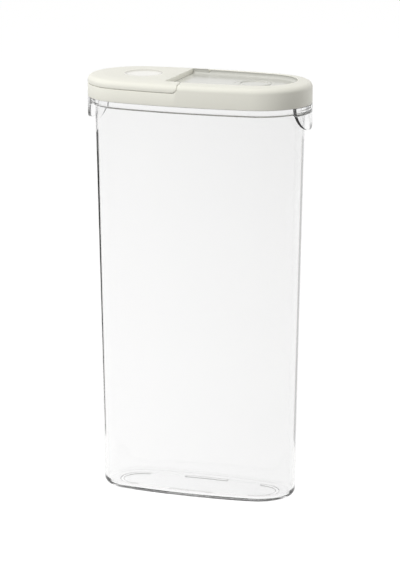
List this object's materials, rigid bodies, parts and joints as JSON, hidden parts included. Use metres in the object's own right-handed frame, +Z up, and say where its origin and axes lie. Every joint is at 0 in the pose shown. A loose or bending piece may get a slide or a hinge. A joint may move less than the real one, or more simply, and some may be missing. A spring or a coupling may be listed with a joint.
{
  "type": "cereal container",
  "caption": "Slim oval clear jar on low foot ridges, with a push-on pale lid whose dished end cap flips up on a hinge to pour cereal.",
  "frame": {"origin": "middle of the footprint on the surface the container stands on", "axes": "+X along the long axis of the oval towards the fixed end of the lid, the pouring end is at -X, +Y across, +Z up"},
  "size_m": [0.168, 0.082, 0.31],
  "materials": {
    "clear_plastic": "clear, polished",
    "lid_plastic": "satin, warm off-white",
    "seal": "soft matt, translucent white",
    "cap_plastic": "satin, warm off-white"
  },
  "bodies": {
    "jar": {"jar": "clear_plastic"},
    "lid": {"lid": "lid_plastic", "lid_seal": "seal"},
    "cap": {"flip_cap": "cap_plastic"}
  },
  "joints": [
    {"name": "lid_lift", "type": "slide", "parent": "jar", "child": "lid", "axis": [0, 0, 1], "range_m": [0, 0.06]},
    {"name": "cap_hinge", "type": "hinge", "parent": "lid", "child": "cap", "pos_m": [-0.0066, 0, 0.307], "axis": [0, 1, 0], "range_deg": [0, 100]}
  ]
}
